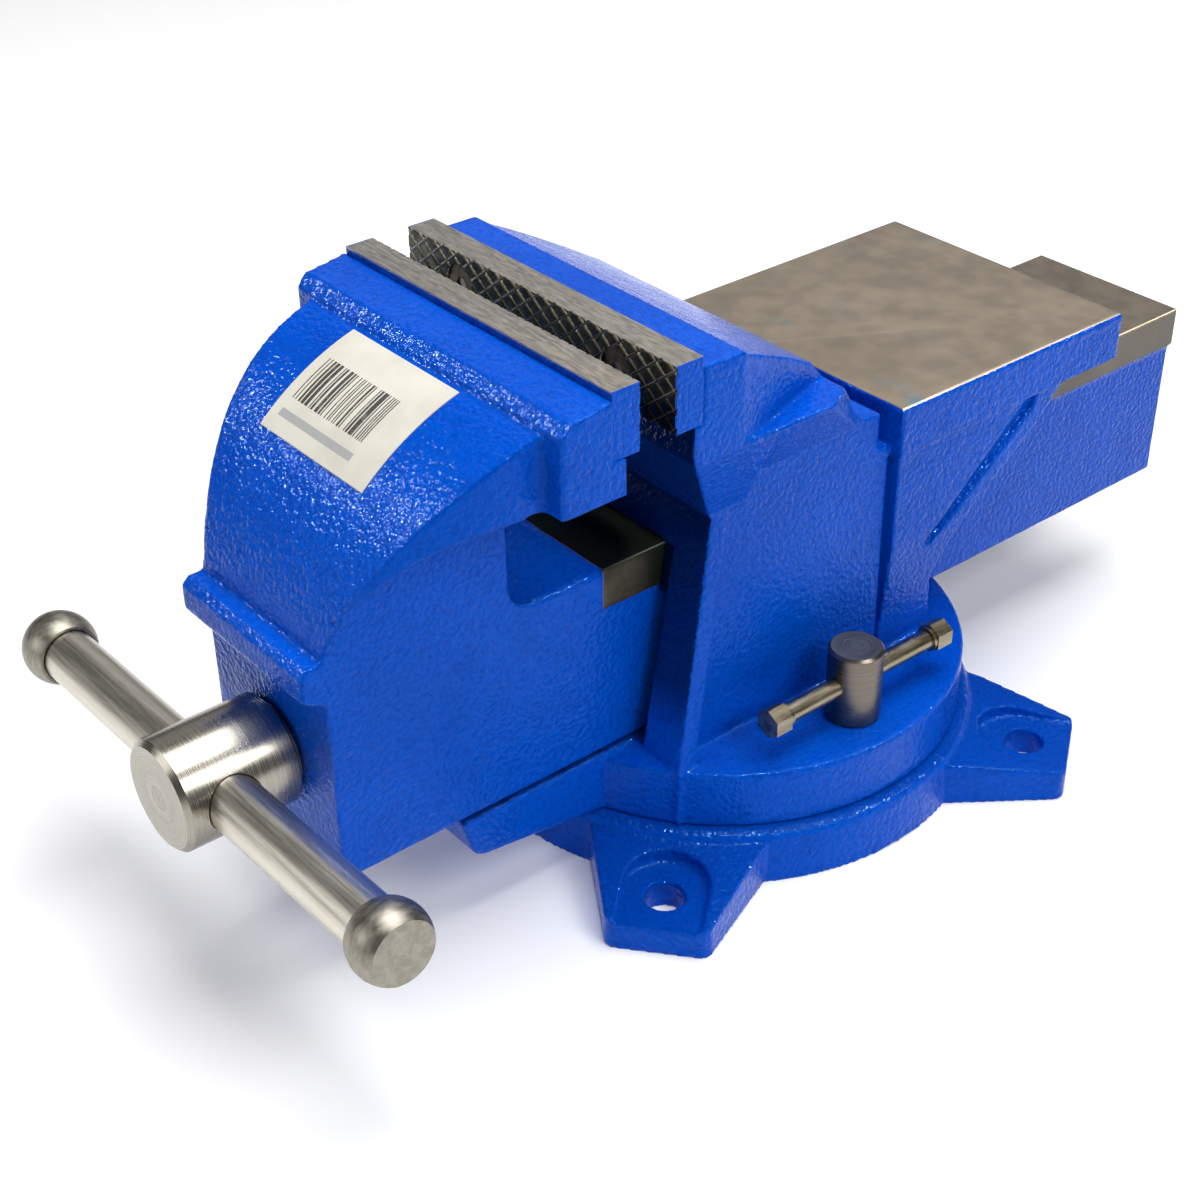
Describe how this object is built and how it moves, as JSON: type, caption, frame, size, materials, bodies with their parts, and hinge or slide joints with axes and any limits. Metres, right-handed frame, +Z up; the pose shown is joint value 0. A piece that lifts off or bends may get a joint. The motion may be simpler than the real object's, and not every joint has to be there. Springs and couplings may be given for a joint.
{
  "type": "bench vise",
  "caption": "Cast bench vise on a swivel base: hollow slide bar, hooded moving jaw, fixed jaw with an anvil, cross-hatched jaw plates and a sliding handle.",
  "frame": {"origin": "on the swivel axis, at the underside of the base", "axes": "+Z up along the swivel axis, +Y along the slide bar towards the anvil, +X along the jaws' width"},
  "size_m": [0.2634, 0.4943, 0.226],
  "materials": {
    "blue_paint": "gloss hammer paint over cast iron, machined faces bare",
    "bare_iron": "machined",
    "jaw_steel": "ground, cross-hatched",
    "turned_steel": "turned and brushed",
    "lock_steel": "bright turned",
    "plain_steel": "plain",
    "fastener_steel": "black oxide",
    "label_film": "satin film, blank"
  },
  "bodies": {
    "base": {"swivel_base": "blue_paint", "pivot_pin": "plain_steel"},
    "body": {"vise_body": "blue_paint", "fixed_jaw_plate": "jaw_steel", "fixed_jaw_screws": "fastener_steel", "spindle_nut": "bare_iron", "spindle_nut_bolts": "fastener_steel", "clamp_nut_right": "plain_steel", "clamp_nut_left": "plain_steel"},
    "jaw": {"moving_jaw": "blue_paint", "moving_jaw_plate": "jaw_steel", "moving_jaw_screws": "fastener_steel", "blank_label": "label_film"},
    "screw": {"spindle": "turned_steel", "thrust_washer": "plain_steel", "spring_washer": "plain_steel", "spindle_spring": "plain_steel", "retaining_collar": "plain_steel", "collar_pin": "plain_steel"},
    "handle": {"handle_bar": "turned_steel", "handle_knob_left": "turned_steel", "handle_knob_right": "turned_steel"},
    "right_lock": {"lock_bolt_right": "lock_steel"},
    "left_lock": {"lock_bolt_left": "lock_steel"},
    "right_bar": {"lock_bar_right": "lock_steel", "lock_bar_caps_right": "lock_steel"},
    "left_bar": {"lock_bar_left": "lock_steel", "lock_bar_caps_left": "lock_steel"}
  },
  "joints": [
    {"name": "swivel_turn", "type": "hinge", "parent": "base", "child": "body", "pos_m": [0, 0, 0.0233], "axis": [0, 0, 1], "continuous": true},
    {"name": "jaw_slide", "type": "slide", "parent": "body", "child": "jaw", "axis": [0, -1, 0], "range_m": [-0.0148, 0.135]},
    {"name": "spindle_turn", "type": "hinge", "parent": "jaw", "child": "screw", "pos_m": [0, -0.23, 0.0895], "axis": [0, -1, 0], "range_deg": [-1066.6, 9721]},
    {"name": "handle_slide", "type": "slide", "parent": "screw", "child": "handle", "axis": [0.9996, 0, 0.0297], "range_m": [-0.0818, 0.0784]},
    {"name": "right_lock_turn", "type": "hinge", "parent": "body", "child": "right_lock", "pos_m": [0.0797, -0.0015, 0.06], "axis": [0, 0, 1], "range_deg": [-12, 12]},
    {"name": "left_lock_turn", "type": "hinge", "parent": "body", "child": "left_lock", "pos_m": [-0.0797, -0.0015, 0.06], "axis": [0, 0, 1], "range_deg": [-12, 12]},
    {"name": "right_bar_slide", "type": "slide", "parent": "right_lock", "child": "right_bar", "axis": [0, 1, 0], "range_m": [-0.017, 0.013]},
    {"name": "left_bar_slide", "type": "slide", "parent": "left_lock", "child": "left_bar", "axis": [0, 1, 0], "range_m": [-0.017, 0.013]}
  ],
  "couplings": [
    {"joint": "spindle_turn", "follows": "jaw_slide", "rad_per_m": 1256.6}
  ]
}
